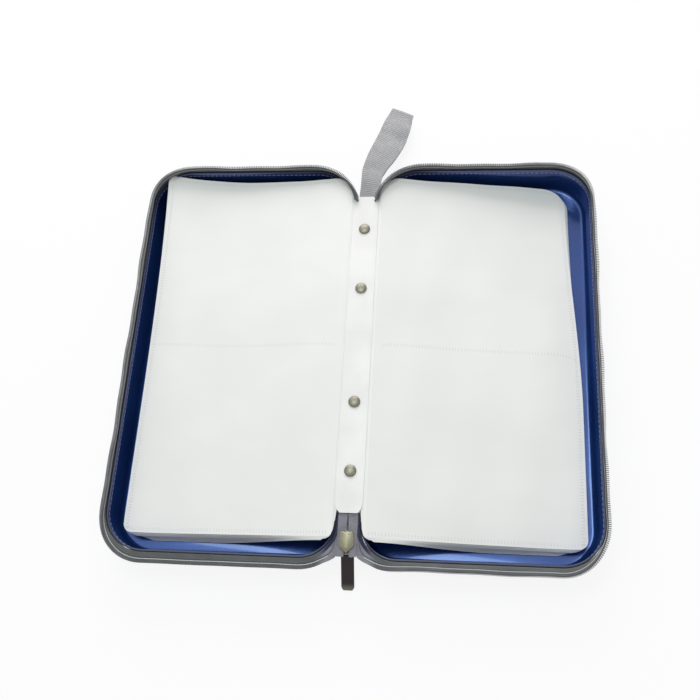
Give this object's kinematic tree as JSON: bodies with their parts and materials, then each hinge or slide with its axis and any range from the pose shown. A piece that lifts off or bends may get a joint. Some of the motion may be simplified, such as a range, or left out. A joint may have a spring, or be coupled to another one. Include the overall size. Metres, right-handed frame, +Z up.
{
  "type": "cd storage case",
  "caption": "Zip-round disc wallet lying open flat: two glossy blue moulded trays on a cloth spine, with riveted white disc sleeves, grey zip, slider and carry loop.",
  "frame": {"origin": "middle of the open case's footprint, on the surface it lies on", "axes": "+X across the open case to the right, +Y along the spine away from the pull tab, +Z up out of the trays"},
  "size_m": [0.3276, 0.3636, 0.0318],
  "materials": {
    "blue_shell": "glossy moulded metallic blue",
    "zip_cloth": "woven grey polyester tape",
    "zip_coil": "satin nylon coil",
    "spine_cloth": "woven grey cloth",
    "sleeve_film": "clear film over white non-woven",
    "binding_strip": "white satin strip",
    "rivet": "nickel plated",
    "slider": "satin pale champagne",
    "pull_tab": "dark gloss",
    "webbing": "ribbed grey webbing"
  },
  "bodies": {
    "right_shell": {"right_shell": "blue_shell", "right_zip_tape": "zip_cloth", "right_zip_coil": "zip_coil", "right_spine_hem": "spine_cloth", "right_sleeves": "sleeve_film"},
    "spine": {"spine_cloth": "spine_cloth", "sleeve_binding": "sleeve_film", "binding_strip": "binding_strip", "rivet_1": "rivet", "rivet_2": "rivet", "rivet_3": "rivet", "rivet_4": "rivet", "rivet_back_1": "rivet", "rivet_back_2": "rivet", "rivet_back_3": "rivet", "rivet_back_4": "rivet", "carry_loop": "webbing", "zip_start_tape": "zip_cloth", "zip_start_coil_left": "zip_coil", "zip_start_coil_right": "zip_coil", "zip_end_stop": "zip_coil"},
    "left_shell": {"left_shell": "blue_shell", "left_zip_tape": "zip_cloth", "left_zip_coil": "zip_coil", "left_spine_hem": "spine_cloth", "left_sleeves": "sleeve_film"},
    "slider": {"slider_body": "slider"},
    "pull_tab": {"pull_tab": "pull_tab"}
  },
  "joints": [
    {"name": "right_fold", "type": "hinge", "parent": "right_shell", "child": "spine", "pos_m": [0.00772, -0.02269, 0.024], "axis": [0, 1, 0], "range_deg": [0, 90]},
    {"name": "left_fold", "type": "hinge", "parent": "spine", "child": "left_shell", "pos_m": [-0.00828, -0.02269, 0.024], "axis": [0, 1, 0], "range_deg": [0, 90]},
    {"name": "slider_run", "type": "slide", "parent": "spine", "child": "slider", "axis": [0, 1, 0], "range_m": [0, 0.008]},
    {"name": "tab_swing", "type": "hinge", "parent": "slider", "child": "pull_tab", "pos_m": [-0.00028, -0.15544, 0.0189], "axis": [1, 0, 0], "range_deg": [-26, 95]}
  ]
}
